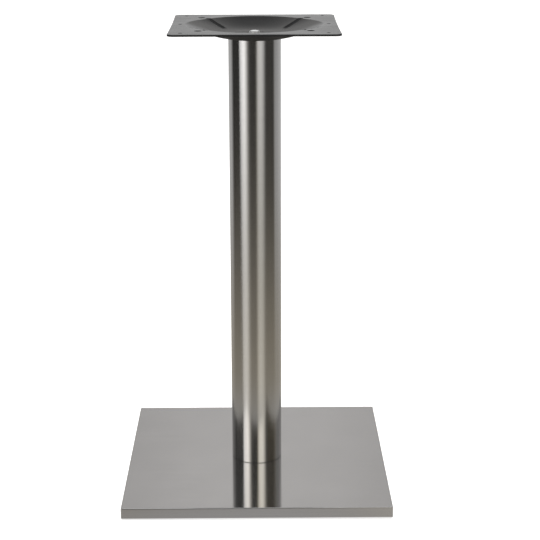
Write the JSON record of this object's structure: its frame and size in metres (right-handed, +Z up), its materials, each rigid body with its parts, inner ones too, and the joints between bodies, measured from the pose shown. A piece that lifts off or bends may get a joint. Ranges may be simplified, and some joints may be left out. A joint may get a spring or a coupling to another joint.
{
  "type": "table leg",
  "caption": "Pedestal table leg: square weighted base with a folded steel cover, round tube column, and a dished black plate with screw holes that carries the table top.",
  "frame": {"origin": "on the floor, under the middle of the base", "axes": "+Z up along the column; X and Y along the sides of the base and of the top plate; -Y is the side that the picture shows"},
  "size_m": [0.4, 0.4, 0.7],
  "materials": {
    "stainless_cover": "stainless sheet, fine brushed along X",
    "stainless_column": "stainless tube, fine brushed round the column",
    "weight_iron": "cast, dipped in black primer",
    "bare_steel": "bare mild steel",
    "zinc": "bright zinc plate",
    "black_paint": "semi-gloss black powder coat",
    "black_plastic": "moulded, matt"
  },
  "bodies": {
    "pedestal": {"base_cover": "stainless_cover", "base_weight": "weight_iron", "column_tube": "stainless_column", "column_lower_disc": "bare_steel", "column_upper_disc": "bare_steel", "tie_rod": "zinc", "lower_washer": "zinc", "lower_nut": "zinc", "top_washer": "zinc", "top_plate": "black_paint"},
    "foot_front_left": {"foot_stud_front_left": "zinc", "foot_pad_front_left": "black_plastic"},
    "foot_front_right": {"foot_stud_front_right": "zinc", "foot_pad_front_right": "black_plastic"},
    "foot_rear_left": {"foot_stud_rear_left": "zinc", "foot_pad_rear_left": "black_plastic"},
    "foot_rear_right": {"foot_stud_rear_right": "zinc", "foot_pad_rear_right": "black_plastic"}
  },
  "joints": [
    {"name": "foot_front_left_screw", "type": "slide", "parent": "pedestal", "child": "foot_front_left", "axis": [0, 0, -1], "range_m": [0, 0.005]},
    {"name": "foot_front_right_screw", "type": "slide", "parent": "pedestal", "child": "foot_front_right", "axis": [0, 0, -1], "range_m": [0, 0.005]},
    {"name": "foot_rear_left_screw", "type": "slide", "parent": "pedestal", "child": "foot_rear_left", "axis": [0, 0, -1], "range_m": [0, 0.005]},
    {"name": "foot_rear_right_screw", "type": "slide", "parent": "pedestal", "child": "foot_rear_right", "axis": [0, 0, -1], "range_m": [0, 0.005]}
  ]
}
